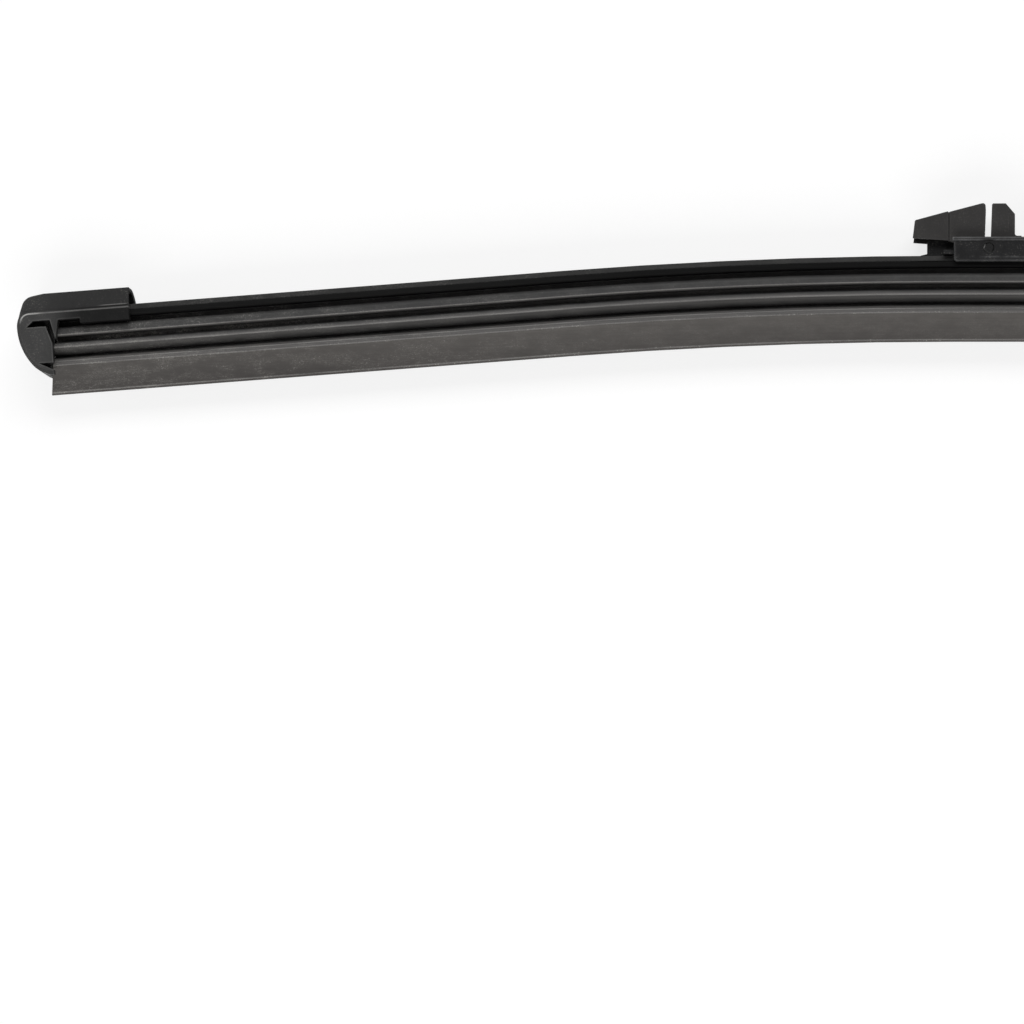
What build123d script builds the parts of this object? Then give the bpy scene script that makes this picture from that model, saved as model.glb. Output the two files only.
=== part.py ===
from build123d import *
import math
import os

# A flat wiper blade: a rubber held by two spring rails, with an end cap at each end and a
# connector base in the middle. The arm's adapter rocks on a cross pin in that base.
# X runs along the blade, Y across it and Z away from the glass, in millimetres.
# The origin is the floor of the adapter's latch slit, above the cross pin.
# Sections are drawn as (across, height) and side views as (along, height).

# Beam line, followed by the top of the rubber
RUBBER_LENGTH = 317.5
SEAT_LENGTH = 12.0
BEAM_RADIUS = 870.0
BEAM_BEND = 4.35
BEAM_DROP = 3.1

# Spring rails
RAIL_WIDTH = 3.4
RAIL_THICKNESS = 1.05
RAIL_EDGE_CHAMFER = 0.15
RAIL_SETBACK = 1.2
RAIL_FIT = 0.05

# Rubber section, from its head down to the wiping edge
HEAD_WIDTH = 5.2
HEAD_HEIGHT = 0.96
WEB_WIDTH = 1.5
SEAT_LIP_WIDTH = 4.2
SEAT_LIP_HEIGHT = 0.97
FLANGE_WIDTH = 7.8
FLANGE_HEIGHT = 1.6
NECK_WIDTH = 3.0
NECK_HEIGHT = 0.82
VANE_WIDTH = 7.4
VANE_SLOPE_HEIGHT = 0.5
VANE_EDGE_HEIGHT = 0.75
VANE_UNDER_HEIGHT = 1.15
HINGE_WIDTH = 1.1
HINGE_HEIGHT = 0.12
SHOULDER_WIDTH = 5.6
SHOULDER_SLOPE_HEIGHT = 0.75
SHOULDER_EDGE_HEIGHT = 0.93
LIP_HEIGHT = 4.65
LIP_EDGE_WIDTH = 0.7
LIP_HOLLOW = 0.12
LIP_BEAD_HEIGHT = 0.4
LIP_BEAD_DRAFT = 0.15
SHOULDER_HOLLOW = 0.12
FLANGE_UPPER_RADIUS = 0.7
FLANGE_LOWER_RADIUS = 0.35
VANE_LOWER_RADIUS = 0.25
SHOULDER_RADIUS = 0.3
LIP_BEAD_RADIUS = 0.2
RUBBER_END_CUT = 9.7

# End caps
CAP_OVERLAP = 12.3
CAP_REACH = 7.05
CAP_PLAY = 0.15
CAP_WALL = 1.6
CAP_WALL_DEPTH = 2.9
CAP_CLAW_REACH = 1.0
CAP_RIM = 0.6
LEDGE_DROP = 0.17
CAP_CORNER_RADIUS = 1.2
RIDGE_HEIGHT = 2.77
RIDGE_RADIUS = 0.35
ROOF_LEDGE = 0.65
ROOF_LEAN = 1.2
ROOF_FLAT = 4.4
ROOF_FAR_HEIGHT = 0.8
ROOF_CROWN = 0.38
ROOF_ROOT = 1.5
ROOF_WALL = 0.7
ROOF_NOSE_START = 2.2
ROOF_NOSE_FALL = 0.57
ROOF_NOSE_SETBACK = 1.45
ROOF_NOSE_RADIUS = 2.0
ROOF_FOOT_SETBACK = 0.3
TIP_BELLY = 2.9
TIP_UPPER_RADIUS = 3.7
TIP_LOWER_RADIUS = 10.5
TIP_LOWER_TURN = 38.8
TIP_FOOT_RADIUS = 5.0
TIP_END_WALL = 1.2
SLOT_DEPTH = 3.5
ANGLE_SLOT_NEAR = 1.3
ANGLE_SLOT_REACH = 5.4
ANGLE_SLOT_SLANT = 1.2
ANGLE_SLOT_TOP = 2.03
ANGLE_SLOT_HEIGHT = 1.07
ANGLE_LEG_WIDTH = 0.75
ANGLE_LEG_LEAN = 0.95
ANGLE_LEG_BOTTOM = 6.05
FOOT_SLOT_LENGTH = 2.5
FOOT_SLOT_TOP = 9.33
FOOT_SLOT_HEIGHT = 1.27
NOTCH_LENGTH = 3.8
NOTCH_TOP = 2.1
TOOTH_ROOT = 0.1
TOOTH_REACH = 0.4
TOOTH_DEPTH = 5.05

# Connector base
BASE_WALL_LEFT = 5.9
BASE_WALL_RIGHT = 13.0
BASE_WALL = 1.4
BASE_WALL_TOP = 0.2
BASE_SKIRT = 0.32
BASE_PLAY = 0.05
BASE_CORNER_RADIUS = 0.6
BASE_EDGE_RADIUS = 0.3
CLAW_WALL = 1.1
CLAW_PLAY = 0.1
CLAW_LENGTH = 5.0
CLAW_INSET = 0.6
CLAW_REACH = 0.9
CLAW_HOOK = 0.7
FLOOR_THICKNESS = 0.7
FLOOR_PLAY = 0.15
FLOOR_TONGUE = 1.75
FLOOR_REACH = 0.9
FOOT_LENGTH = 3.9
FOOT_WIDTH = 4.4
FOOT_THICKNESS = 0.3
FOOT_RAMP = 1.2
RIB_LENGTH = 5.4
RIB_LEFT = 10.45
RIB_WIDTH = 3.2
RIB_TOP = 0.55

# Pivot
PIN_RADIUS = 0.9
PIN_CLEARANCE = 0.1
PIN_PROUD = 0.12
PIN_CHAMFER = 0.2
PIN_SEAT_FIT = 0.02
PIN_RUNNING_FIT = 0.05

# Arm adapter
ADAPTER_PLAY = 0.2
ADAPTER_CLEARANCE = 0.3
ADAPTER_RIGHT = 5.5
ADAPTER_RIGHT_BOTTOM = 1.5
ADAPTER_RIGHT_TOP = 0.15
NOSE_LEFT = 12.85
NOSE_HEIGHT = 2.8
NOSE_UNDER = 0.22
NOSE_UNDER_SLOPE = 0.42
NOSE_SLANT = 0.35
NOSE_WALL = 0.6
NOSE_ROOF = 1.4
NOSE_FRONT_DEPTH = 2.0
SEAM_LEFT = 6.9
SEAM_WIDTH = 0.3
SEAM_DEPTH = 0.25
SEAM_STEP = 0.15
SEAM_HEIGHT = 4.33
CHEEK_LEFT = 6.2
CHEEK_DROP = 0.9
WEDGE_TOP = 5.85
SLIT_WIDTH = 1.05
SLIT_FLARE = 0.2
POST_WIDTH = 3.86
POST_TOP = 5.65
POST_FLAT = 2.32
POST_CHAMFER_HEIGHT = 1.8
POST_FOOT_RADIUS = 0.4
POST_GROOVE_RIGHT = 0.4
POST_GROOVE_WIDTH = 0.62
POST_GROOVE_DEPTH = 0.1
WEDGE_RADIUS = 0.5
ADAPTER_EDGE_RADIUS = 0.3
RIB_SIDE_PLAY = 0.3
RIB_END_PLAY = 0.5
RIB_ROOF_PLAY = 1.75

# Levels of the rubber section below the rubber's top
GROOVE_TOP = -HEAD_HEIGHT
GROOVE_BOTTOM = GROOVE_TOP - RAIL_THICKNESS - 2 * RAIL_FIT
FLANGE_TOP = GROOVE_BOTTOM - SEAT_LIP_HEIGHT
FLANGE_BOTTOM = FLANGE_TOP - FLANGE_HEIGHT
VANE_TOP = FLANGE_BOTTOM - NECK_HEIGHT
VANE_EDGE_TOP = VANE_TOP - VANE_SLOPE_HEIGHT
VANE_EDGE_BOTTOM = VANE_EDGE_TOP - VANE_EDGE_HEIGHT
VANE_BOTTOM = VANE_EDGE_BOTTOM - VANE_UNDER_HEIGHT
SHOULDER_TOP = VANE_BOTTOM - HINGE_HEIGHT
SHOULDER_EDGE = SHOULDER_TOP - SHOULDER_SLOPE_HEIGHT
LIP_TOP = SHOULDER_EDGE - SHOULDER_EDGE_HEIGHT
LIP_BOTTOM = LIP_TOP - LIP_HEIGHT

# Rail faces, from the blade's middle plane and below the rubber's top
RAIL_INNER = WEB_WIDTH / 2 + RAIL_FIT
RAIL_OUTER = RAIL_INNER + RAIL_WIDTH
RAIL_TOP = GROOVE_TOP - RAIL_FIT
RAIL_BOTTOM = RAIL_TOP - RAIL_THICKNESS

# Half widths of the mouldings
CAP_HALF = RAIL_OUTER + CAP_PLAY + CAP_WALL
BASE_HALF = RAIL_OUTER + CLAW_PLAY + CLAW_WALL
BASE_INNER = BASE_HALF - BASE_WALL
ADAPTER_HALF = BASE_INNER - ADAPTER_PLAY

# Depths of the pivot axis and of the adapter's underside below the latch floor
PIN_DROP = BEAM_DROP - PIN_CLEARANCE - PIN_RADIUS
ADAPTER_BOTTOM = BEAM_DROP - ADAPTER_CLEARANCE

# Station of the rubber's end on the beam line
BEND = math.radians(BEAM_BEND)
END_SLANT = math.tan(math.radians(RUBBER_END_CUT))
END_RUN = RUBBER_LENGTH / 2 - SEAT_LENGTH / 2 - BEAM_RADIUS * BEND


def beam_end(setback=0.0):
    """Point of the beam line at its right end, short of the rubber's end by a setback."""
    run = END_RUN - setback
    along = SEAT_LENGTH / 2 + BEAM_RADIUS * math.sin(BEND) + run * math.cos(BEND)
    drop = BEAM_RADIUS * (1 - math.cos(BEND)) + run * math.sin(BEND)
    return along, -BEAM_DROP - drop


def beam_sweep(section, setback=0.0):
    """Sweeps a section along the beam line: end run, bend, seat, bend, end run."""
    along, height = beam_end(setback)
    run = END_RUN - setback
    rising = (math.cos(BEND), math.sin(BEND))
    left_run = Line((-along, height), (-along + run * rising[0], height + run * rising[1]))
    left_bend = JernArc(left_run @ 1, left_run % 1, BEAM_RADIUS, -BEAM_BEND)
    seat = Line(left_bend @ 1, left_bend @ 1 + Vector(SEAT_LENGTH, 0))
    right_bend = JernArc(seat @ 1, seat % 1, BEAM_RADIUS, -BEAM_BEND)
    right_run = Line(right_bend @ 1, right_bend @ 1 + run * (right_bend % 1))
    edges = [Plane.XZ * edge for edge in (left_run, left_bend, seat, right_bend, right_run)]
    start = Plane((-along, 0, height), x_dir=(0, 1, 0), z_dir=(rising[0], 0, rising[1]))
    return sweep(start * section, path=Wire(edges))


def rubber_section():
    """Section of the rubber: head, rail grooves, flange, vane, hinge web and wiping lip."""
    half = [
        (0, 0),
        (HEAD_WIDTH / 2, 0),
        (HEAD_WIDTH / 2, GROOVE_TOP),
        (WEB_WIDTH / 2, GROOVE_TOP),
        (WEB_WIDTH / 2, GROOVE_BOTTOM),
        (SEAT_LIP_WIDTH / 2, GROOVE_BOTTOM),
        (SEAT_LIP_WIDTH / 2, FLANGE_TOP),
        (FLANGE_WIDTH / 2, FLANGE_TOP),
        (FLANGE_WIDTH / 2, FLANGE_BOTTOM),
        (NECK_WIDTH / 2, FLANGE_BOTTOM),
        (NECK_WIDTH / 2, VANE_TOP),
        (VANE_WIDTH / 2, VANE_EDGE_TOP),
        (VANE_WIDTH / 2, VANE_EDGE_BOTTOM),
        (HINGE_WIDTH / 2, VANE_BOTTOM),
        (HINGE_WIDTH / 2, SHOULDER_TOP),
        (SHOULDER_WIDTH / 2, SHOULDER_EDGE),
        (SHOULDER_WIDTH / 2 - SHOULDER_HOLLOW, (SHOULDER_EDGE + LIP_TOP) / 2),
        (SHOULDER_WIDTH / 2, LIP_TOP),
        (SHOULDER_WIDTH / 2 - LIP_BEAD_DRAFT, LIP_TOP - LIP_BEAD_HEIGHT),
    ]
    head = [0] * 6
    flange = [FLANGE_UPPER_RADIUS, FLANGE_LOWER_RADIUS, 0]
    vane = [0, 0, VANE_LOWER_RADIUS, 0]
    shoulder = [0, SHOULDER_RADIUS, 0, LIP_BEAD_RADIUS]
    lip_end = (LIP_EDGE_WIDTH / 2, LIP_BOTTOM)
    lip_middle = (
        (SHOULDER_WIDTH + LIP_EDGE_WIDTH) / 4 - LIP_HOLLOW,
        (LIP_TOP + LIP_BOTTOM) / 2,
    )
    with BuildSketch() as sketch:
        with BuildLine():
            side = FilletPolyline(*half, radius=head + flange + vane + shoulder)
            lip = ThreePointArc(side @ 1, lip_middle, lip_end)
            Line(lip @ 1, (0, LIP_BOTTOM))
            mirror(about=Plane.YZ)
        make_face()
    return sketch.sketch


def end_frame():
    """Place of the right end's frame: along the end run, outward from the rubber's head."""
    end_along, end_height = beam_end()
    return Pos(end_along, 0, end_height) * Rot(0, BEAM_BEND, 0)


def wiper_rubber():
    """The extruded rubber, cut at each end on a slant that leaves the lip longer."""
    spare = -LIP_BOTTOM * END_SLANT
    rubber = beam_sweep(rubber_section(), -spare)
    cut = Plane(end_frame() * Rot(0, 90 - RUBBER_END_CUT, 0))
    rubber = split(rubber, bisect_by=cut, keep=Keep.BOTTOM)
    cut_left = Plane((-cut.origin.X, 0, cut.origin.Z), z_dir=(-cut.z_dir.X, 0, cut.z_dir.Z))
    return split(rubber, bisect_by=cut_left, keep=Keep.BOTTOM)


def spring_rail(side):
    """A flat spring steel strip in the rubber's groove, on the side that the sign gives."""
    middle = side * (RAIL_INNER + RAIL_WIDTH / 2)
    strip = Rectangle(RAIL_WIDTH, RAIL_THICKNESS)
    strip = chamfer(strip.vertices(), RAIL_EDGE_CHAMFER)
    return beam_sweep(Pos(middle, (RAIL_TOP + RAIL_BOTTOM) / 2) * strip, RAIL_SETBACK)


def outline(points):
    """Closed face through straight-sided points."""
    return make_face(Polyline(*points, close=True))


def prism_across(face, half_width):
    """Solid of a side view, as wide as the half width to both sides."""
    return extrude(Plane.XZ * face, amount=half_width, both=True)


def prism_along(face, start, end):
    """Solid of a cross section between two stations along X."""
    return extrude(Plane.YZ.offset(start) * face, amount=end - start)


def rectangle(left, right, bottom, top):
    """Face between four limits."""
    return Pos((left + right) / 2, (bottom + top) / 2) * Rectangle(right - left, top - bottom)


# Tip of the end caps: three tangent arcs, two of which meet at its furthest point
TIP_UPPER_CENTRE = (CAP_REACH - TIP_UPPER_RADIUS, -TIP_BELLY)
TIP_LOWER_CENTRE = (CAP_REACH - TIP_LOWER_RADIUS, -TIP_BELLY)
TIP_TURN = math.radians(TIP_LOWER_TURN)
TIP_CENTRE_STEP = TIP_LOWER_RADIUS - TIP_FOOT_RADIUS
TIP_FOOT_CENTRE = (
    TIP_LOWER_CENTRE[0] + TIP_CENTRE_STEP * math.cos(TIP_TURN),
    TIP_LOWER_CENTRE[1] - TIP_CENTRE_STEP * math.sin(TIP_TURN),
)
TIP_DEPTH = TIP_FOOT_RADIUS - TIP_FOOT_CENTRE[1]
ROOF_HALF = CAP_HALF - ROOF_LEDGE
LEG_NEAR = ANGLE_SLOT_NEAR - ANGLE_LEG_LEAN
TIP_EDGE = LEG_NEAR + ANGLE_LEG_WIDTH


def cap_wall_outline():
    """Side view of the cap's walls and tip, with a notch and a tooth beside the rubber's end."""
    upper_turn = math.degrees(math.asin((TIP_BELLY - LEDGE_DROP) / TIP_UPPER_RADIUS))
    foot_turn = math.degrees(math.acos((TIP_EDGE - TIP_FOOT_CENTRE[0]) / TIP_FOOT_RADIUS))
    with BuildSketch() as sketch:
        with BuildLine():
            upper = CenterArc(TIP_UPPER_CENTRE, TIP_UPPER_RADIUS, upper_turn, -upper_turn)
            CenterArc(TIP_LOWER_CENTRE, TIP_LOWER_RADIUS, 0, -TIP_LOWER_TURN)
            foot = CenterArc(
                TIP_FOOT_CENTRE, TIP_FOOT_RADIUS, -TIP_LOWER_TURN, TIP_LOWER_TURN - foot_turn
            )
            Polyline(
                foot @ 1,
                (TIP_EDGE, -ANGLE_LEG_BOTTOM),
                (TOOTH_REACH, -TOOTH_DEPTH),
                (-TOOTH_ROOT, -NOTCH_TOP),
                (-TOOTH_ROOT - NOTCH_LENGTH, -NOTCH_TOP),
                (-TOOTH_ROOT - NOTCH_LENGTH, -CAP_WALL_DEPTH),
                (-CAP_OVERLAP, -CAP_WALL_DEPTH),
                (-CAP_OVERLAP, -LEDGE_DROP),
                upper @ 0,
            )
        make_face()
        corner = sketch.vertices().sort_by_distance(upper @ 0)[0]
        fillet(corner, CAP_CORNER_RADIUS)
    return sketch.sketch


def cap_walls():
    """Walls and tip with a bevelled rim along the ledge and round the tip."""
    body = prism_across(cap_wall_outline(), CAP_HALF)
    sides = body.faces().filter_by(Axis.Y).sort_by(Axis.Y)
    rim = [
        edge
        for side in (sides[0], sides[-1])
        for edge in side.edges()
        if (edge.center().Z > -LEDGE_DROP - CAP_RIM and edge.center().X > -CAP_OVERLAP + CAP_RIM)
        or edge.center().X > CAP_REACH / 2
    ]
    return chamfer(rim, CAP_RIM)


def cap_roof():
    """Roof with a steep near face, a ridge and a crowned slope to the far side."""
    nose = (CAP_REACH - ROOF_NOSE_SETBACK, RIDGE_HEIGHT - ROOF_NOSE_FALL)
    side_view = outline(
        [
            (-CAP_OVERLAP, -ROOF_ROOT),
            (-CAP_OVERLAP, RIDGE_HEIGHT),
            (ROOF_NOSE_START, RIDGE_HEIGHT),
            nose,
            (CAP_REACH - ROOF_FOOT_SETBACK, -ROOF_ROOT),
        ]
    )
    side_view = fillet(side_view.vertices().sort_by_distance(nose)[0], ROOF_NOSE_RADIUS)
    ridge = -ROOF_HALF + ROOF_LEAN
    back = ridge + ROOF_FLAT
    crown = ((back + ROOF_HALF) / 2, (RIDGE_HEIGHT + ROOF_FAR_HEIGHT) / 2 + ROOF_CROWN)
    with BuildSketch() as section:
        with BuildLine():
            slope = ThreePointArc((back, RIDGE_HEIGHT), crown, (ROOF_HALF, ROOF_FAR_HEIGHT))
            Polyline(
                slope @ 1,
                (ROOF_HALF, -ROOF_ROOT),
                (-ROOF_HALF, -ROOF_ROOT),
                (-ROOF_HALF, -LEDGE_DROP),
                (ridge, RIDGE_HEIGHT),
                slope @ 0,
            )
        make_face()
        crest = section.vertices().sort_by_distance((ridge, RIDGE_HEIGHT))[0]
        fillet(crest, RIDGE_RADIUS)
    return prism_along(section.sketch, -CAP_OVERLAP, CAP_REACH) & prism_across(side_view, CAP_HALF)


def cap_hollow():
    """Room in the cap for the rails, the rubber's head and the hollow under the roof."""
    mouth = -CAP_OVERLAP - CAP_PLAY
    room_half = RAIL_OUTER + CAP_PLAY
    claw_top = RAIL_BOTTOM - CAP_PLAY
    throat_half = room_half - CAP_CLAW_REACH
    room = rectangle(-room_half, room_half, claw_top, CAP_PLAY)
    throat = rectangle(-throat_half, throat_half, -CAP_WALL_DEPTH - CAP_PLAY, claw_top)
    loft_near = -ROOF_HALF + ROOF_WALL
    loft_top = RIDGE_HEIGHT - ROOF_WALL
    lean = ROOF_LEAN * loft_top / RIDGE_HEIGHT
    loft = outline(
        [
            (loft_near, 0),
            (loft_near + lean, loft_top),
            (loft_near + lean + ROOF_FLAT, loft_top),
            (ROOF_HALF - ROOF_WALL, 0),
        ]
    )
    beam = prism_along(room + throat, mouth, CAP_PLAY)
    return beam + prism_along(loft, mouth, -TIP_END_WALL)


def cap_pocket():
    """Pocket between the tip's side plates for the rubber's slanted end."""
    bottom = -TIP_DEPTH - CAP_PLAY
    face = outline(
        [
            (0, 0),
            (CAP_PLAY, 0),
            (CAP_PLAY - bottom * END_SLANT, bottom),
            (0, bottom),
        ]
    )
    return prism_across(face, FLANGE_WIDTH / 2 + CAP_PLAY)


def cap_slots():
    """Moulding slots in each side of the tip."""
    angle_bottom = -ANGLE_SLOT_TOP - ANGLE_SLOT_HEIGHT
    angle_slot = outline(
        [
            (ANGLE_SLOT_REACH, angle_bottom),
            (ANGLE_SLOT_REACH - ANGLE_SLOT_SLANT, -ANGLE_SLOT_TOP),
            (ANGLE_SLOT_NEAR, -ANGLE_SLOT_TOP),
            (LEG_NEAR, -ANGLE_LEG_BOTTOM),
            (TIP_EDGE, -ANGLE_LEG_BOTTOM),
            (ANGLE_SLOT_NEAR + ANGLE_LEG_WIDTH, angle_bottom),
        ]
    )
    foot_slot = outline(
        [
            (TIP_EDGE + FOOT_SLOT_LENGTH, -FOOT_SLOT_TOP),
            (TIP_EDGE, -FOOT_SLOT_TOP),
            (TIP_EDGE, -FOOT_SLOT_TOP - FOOT_SLOT_HEIGHT),
        ]
    )
    slots = angle_slot + foot_slot
    return prism_across(slots, CAP_HALF) - prism_across(slots, CAP_HALF - SLOT_DEPTH)


def end_cap_right():
    """The moulded cap on the right end, in line with the end run."""
    shape = cap_walls() + cap_roof() - cap_hollow() - cap_pocket() - cap_slots()
    return end_frame() * shape


def end_cap_left():
    """Mirror image of the right end's cap."""
    return mirror(end_cap_right(), about=Plane.YZ)


# Levels at the connector
RAIL_SEAT = -BEAM_DROP + RAIL_TOP + BASE_PLAY
FLOOR_BOTTOM = -BEAM_DROP + FLOOR_PLAY
FLOOR_TOP = FLOOR_BOTTOM + FLOOR_THICKNESS
FOOT_BOTTOM = -BEAM_DROP + BASE_PLAY


def base_wall_section():
    """Section of the near wall, with the skirt that hangs outside the rail's edge."""
    skirt = RAIL_OUTER + CLAW_PLAY
    return outline(
        [
            (-BASE_INNER, RAIL_SEAT),
            (-BASE_INNER, -BASE_WALL_TOP),
            (-BASE_HALF, -BASE_WALL_TOP),
            (-BASE_HALF, RAIL_SEAT - BASE_SKIRT),
            (-skirt, RAIL_SEAT - BASE_SKIRT),
            (-skirt, RAIL_SEAT),
        ]
    )


def base_claw():
    """Claw of the near wall, round the rail's edge and under it."""
    skirt = RAIL_OUTER + CLAW_PLAY
    hook_top = -BEAM_DROP + RAIL_BOTTOM - CLAW_PLAY
    hook_bottom = hook_top - CLAW_HOOK
    section = outline(
        [
            (-skirt, RAIL_SEAT),
            (-BASE_HALF, RAIL_SEAT),
            (-BASE_HALF, hook_bottom),
            (-skirt + CLAW_REACH, hook_bottom),
            (-skirt + CLAW_REACH, hook_top),
            (-skirt, hook_top),
        ]
    )
    right = BASE_WALL_RIGHT - CLAW_INSET
    return prism_along(section, right - CLAW_LENGTH, right)


def base_wall():
    """The near side wall with rounded corners and outer edges, and its claw."""
    side_view = rectangle(
        -BASE_WALL_LEFT, BASE_WALL_RIGHT, RAIL_SEAT - BASE_SKIRT, -BASE_WALL_TOP
    )
    side_view = fillet(side_view.vertices(), BASE_CORNER_RADIUS)
    wall = prism_along(base_wall_section(), -BASE_WALL_LEFT, BASE_WALL_RIGHT)
    wall &= prism_across(side_view, BASE_HALF)
    outer = wall.faces().sort_by(Axis.Y)[0]
    return fillet(outer.edges(), BASE_EDGE_RADIUS) + base_claw()


def base_foot(end, ramp_side):
    """Thin foot of the floor on the rubber's head, with a ramp at its free end."""
    ramp = end - ramp_side * FOOT_RAMP
    root = end - ramp_side * (FOOT_LENGTH + FLOOR_REACH)
    top = FOOT_BOTTOM + FOOT_THICKNESS
    side_view = outline([(end, FOOT_BOTTOM), (ramp, top), (root, top), (root, FOOT_BOTTOM)])
    return prism_across(side_view, FOOT_WIDTH / 2)


def connector_base():
    """The moulded base: two walls, floors and feet at both ends, and the rib for the nose."""
    near = base_wall()
    left_tongue = -BASE_WALL_LEFT - FLOOR_TONGUE
    right_tongue = BASE_WALL_RIGHT + FLOOR_TONGUE
    floor = rectangle(-BASE_INNER, BASE_INNER, FLOOR_BOTTOM, FLOOR_TOP)
    shape = near + mirror(near, about=Plane.XZ)
    shape += prism_along(floor, left_tongue, -BASE_WALL_LEFT + FLOOR_REACH)
    shape += prism_along(floor, ADAPTER_RIGHT + FLOOR_REACH, right_tongue)
    shape += base_foot(left_tongue - FOOT_LENGTH, -1)
    shape += base_foot(right_tongue + FOOT_LENGTH, 1)
    rib = rectangle(-RIB_WIDTH / 2, RIB_WIDTH / 2, FOOT_BOTTOM, -RIB_TOP)
    shape += prism_along(rib, -RIB_LEFT, -RIB_LEFT + RIB_LENGTH)
    return shape - pin_hole(PIN_SEAT_FIT)


def pin_cylinder(radius, half_length):
    """Cylinder on the pivot axis."""
    return Pos(0, 0, -PIN_DROP) * Rot(90, 0, 0) * Cylinder(radius, 2 * half_length)


def pin_hole(fit):
    """Hole for the pivot pin with a radial fit, through the whole connector."""
    return pin_cylinder(PIN_RADIUS + fit, BASE_HALF)


def pivot_pin():
    """Steel cross pin, a little proud of the base's walls, with chamfered ends."""
    pin = pin_cylinder(PIN_RADIUS, BASE_HALF + PIN_PROUD)
    return chamfer(pin.edges().filter_by(GeomType.CIRCLE), PIN_CHAMFER)


def adapter_outline():
    """Side view of the adapter: nose, wedge, slit, post, and cheeks down to the pin."""
    slit = SLIT_WIDTH / 2
    post_right = slit + POST_WIDTH
    nose_corner = (-NOSE_LEFT + NOSE_SLANT, NOSE_HEIGHT)
    points = [
        (-NOSE_LEFT, -NOSE_UNDER),
        nose_corner,
        (-SEAM_LEFT, SEAM_HEIGHT),
        (-SEAM_LEFT, SEAM_HEIGHT - SEAM_STEP),
        (-slit, WEDGE_TOP),
        (-slit - SLIT_FLARE, 0),
        (slit - SLIT_FLARE, 0),
        (slit, POST_TOP),
        (slit + POST_FLAT, POST_TOP),
        (post_right, POST_TOP - POST_CHAMFER_HEIGHT),
        (post_right, ADAPTER_RIGHT_TOP),
        (ADAPTER_RIGHT, ADAPTER_RIGHT_TOP),
        (ADAPTER_RIGHT, -ADAPTER_RIGHT_BOTTOM),
        (PIN_RADIUS, -ADAPTER_BOTTOM),
        (-PIN_RADIUS, -ADAPTER_BOTTOM),
        (-CHEEK_LEFT, -CHEEK_DROP),
        (-SEAM_LEFT, -NOSE_UNDER - NOSE_UNDER_SLOPE),
    ]
    face = outline(points)
    for point, radius in (
        (nose_corner, ADAPTER_EDGE_RADIUS),
        ((-slit, WEDGE_TOP), WEDGE_RADIUS),
        ((slit, POST_TOP), ADAPTER_EDGE_RADIUS),
        ((post_right, ADAPTER_RIGHT_TOP), POST_FOOT_RADIUS),
    ):
        face = fillet(face.vertices().sort_by_distance(point)[0], radius)
    return face


def side_grooves(face, depth):
    """Grooves of a side view in both sides of the adapter."""
    return prism_across(face, ADAPTER_HALF) - prism_across(face, ADAPTER_HALF - depth)


def arm_adapter():
    """The moulded adapter with its hollow nose, rib slot, seams and seat for the pin."""
    shape = prism_across(adapter_outline(), ADAPTER_HALF)
    seam = rectangle(-SEAM_LEFT, -SEAM_LEFT + SEAM_WIDTH, -ADAPTER_BOTTOM, WEDGE_TOP)
    shape -= side_grooves(seam, SEAM_DEPTH)
    groove_right = SLIT_WIDTH / 2 + POST_WIDTH - POST_GROOVE_RIGHT
    groove = rectangle(
        groove_right - POST_GROOVE_WIDTH,
        groove_right,
        ADAPTER_RIGHT_TOP + POST_FOOT_RADIUS,
        POST_TOP - POST_CHAMFER_HEIGHT,
    )
    shape -= side_grooves(groove, POST_GROOVE_DEPTH)
    nose_hollow = rectangle(
        -NOSE_LEFT + NOSE_WALL, -SEAM_LEFT, -ADAPTER_BOTTOM, NOSE_HEIGHT - NOSE_ROOF
    )
    nose_mouth = rectangle(
        -NOSE_LEFT, -SEAM_LEFT, -ADAPTER_BOTTOM, NOSE_HEIGHT - NOSE_FRONT_DEPTH
    )
    shape -= prism_across(nose_hollow + nose_mouth, ADAPTER_HALF - NOSE_WALL)
    slot_side_view = rectangle(
        -RIB_LEFT - RIB_END_PLAY,
        -RIB_LEFT + RIB_LENGTH + RIB_END_PLAY,
        -ADAPTER_BOTTOM,
        -RIB_TOP + RIB_ROOF_PLAY,
    )
    shape -= prism_across(slot_side_view, RIB_WIDTH / 2 + RIB_SIDE_PLAY)
    return shape - pin_hole(PIN_RUNNING_FIT)


NODES = {
    "wiper_rubber": wiper_rubber(),
    "spring_rail_near": spring_rail(-1),
    "spring_rail_far": spring_rail(1),
    "end_cap_left": end_cap_left(),
    "end_cap_right": end_cap_right(),
    "connector_base": connector_base(),
    "pivot_pin": pivot_pin(),
    "arm_adapter": arm_adapter(),
}

os.makedirs("parts", exist_ok=True)
for name, shape in NODES.items():
    export_step(shape, f"parts/{name}.step")
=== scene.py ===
"""Looks of a flat wiper blade: rubber, spring rails, end caps, connector and arm adapter."""

import logging
import math
from dataclasses import dataclass
from enum import Enum
from typing import Any, Mapping, Sequence, Union

import bmesh
import bpy
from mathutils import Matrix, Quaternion, Vector


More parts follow.
